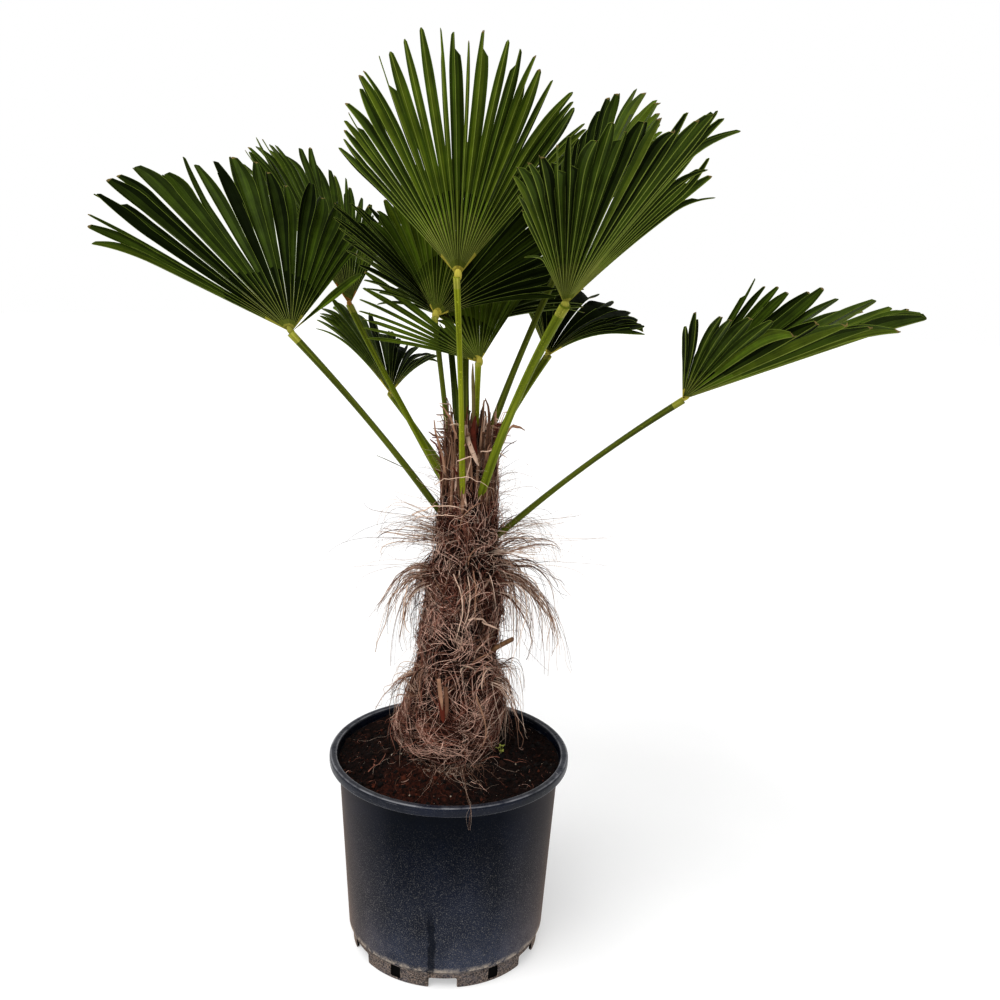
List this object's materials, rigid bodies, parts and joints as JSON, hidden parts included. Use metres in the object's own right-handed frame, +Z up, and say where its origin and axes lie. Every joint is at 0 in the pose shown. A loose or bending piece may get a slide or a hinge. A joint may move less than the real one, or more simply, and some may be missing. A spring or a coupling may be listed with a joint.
{
  "type": "potted windmill palm",
  "caption": "Young windmill palm with a fibre-clad trunk and stiff pleated fan leaves on long stalks, growing in a round plastic nursery pot.",
  "frame": {"origin": "on the floor, on the pot's axis, at the underside of the pad in the middle of the pot's base", "axes": "+Z up along the pot's axis; -Y is the side the plant is mostly seen from; +X is the side the trunk leans to"},
  "size_m": [1.1601, 1.1525, 1.4434],
  "materials": {
    "pot_plastic": "charcoal moulded plastic, dusty and weathered",
    "soil": "dark peaty potting soil with loose crumbs",
    "trunk_fibre": "matted dry brown leaf-base fibre",
    "dry_base": "dry cut leaf base",
    "loose_fibre": "dry hair-like fibre",
    "stalk": "smooth green leaf stalk",
    "blade": "stiff dark green pleated leaf, slightly glossy"
  },
  "bodies": {
    "root": {"pot": "pot_plastic", "soil": "soil", "trunk": "trunk_fibre", "cut_stub": "dry_base", "tuft_left_high": "loose_fibre", "tuft_right_high": "loose_fibre", "tuft_front_high": "loose_fibre", "tuft_back_high": "loose_fibre", "tuft_left_low": "loose_fibre", "tuft_right_low": "loose_fibre", "tuft_back_low": "loose_fibre", "tuft_foot_left": "loose_fibre", "tuft_foot_right": "loose_fibre", "frond_01_stalk": "stalk", "frond_01_blade": "blade", "frond_02_stalk": "stalk", "frond_02_blade": "blade", "frond_03_stalk": "stalk", "frond_03_blade": "blade", "frond_04_stalk": "stalk", "frond_04_blade": "blade", "frond_05_stalk": "stalk", "frond_05_blade": "blade", "frond_06_stalk": "stalk", "frond_06_blade": "blade", "frond_07_stalk": "stalk", "frond_07_blade": "blade", "frond_08_stalk": "stalk", "frond_08_blade": "blade", "frond_09_stalk": "stalk", "frond_09_blade": "blade", "frond_10_stalk": "stalk", "frond_10_blade": "blade", "frond_11_stalk": "stalk", "frond_11_blade": "blade", "frond_12_stalk": "stalk", "frond_12_blade": "blade"}
  },
  "joints": []
}
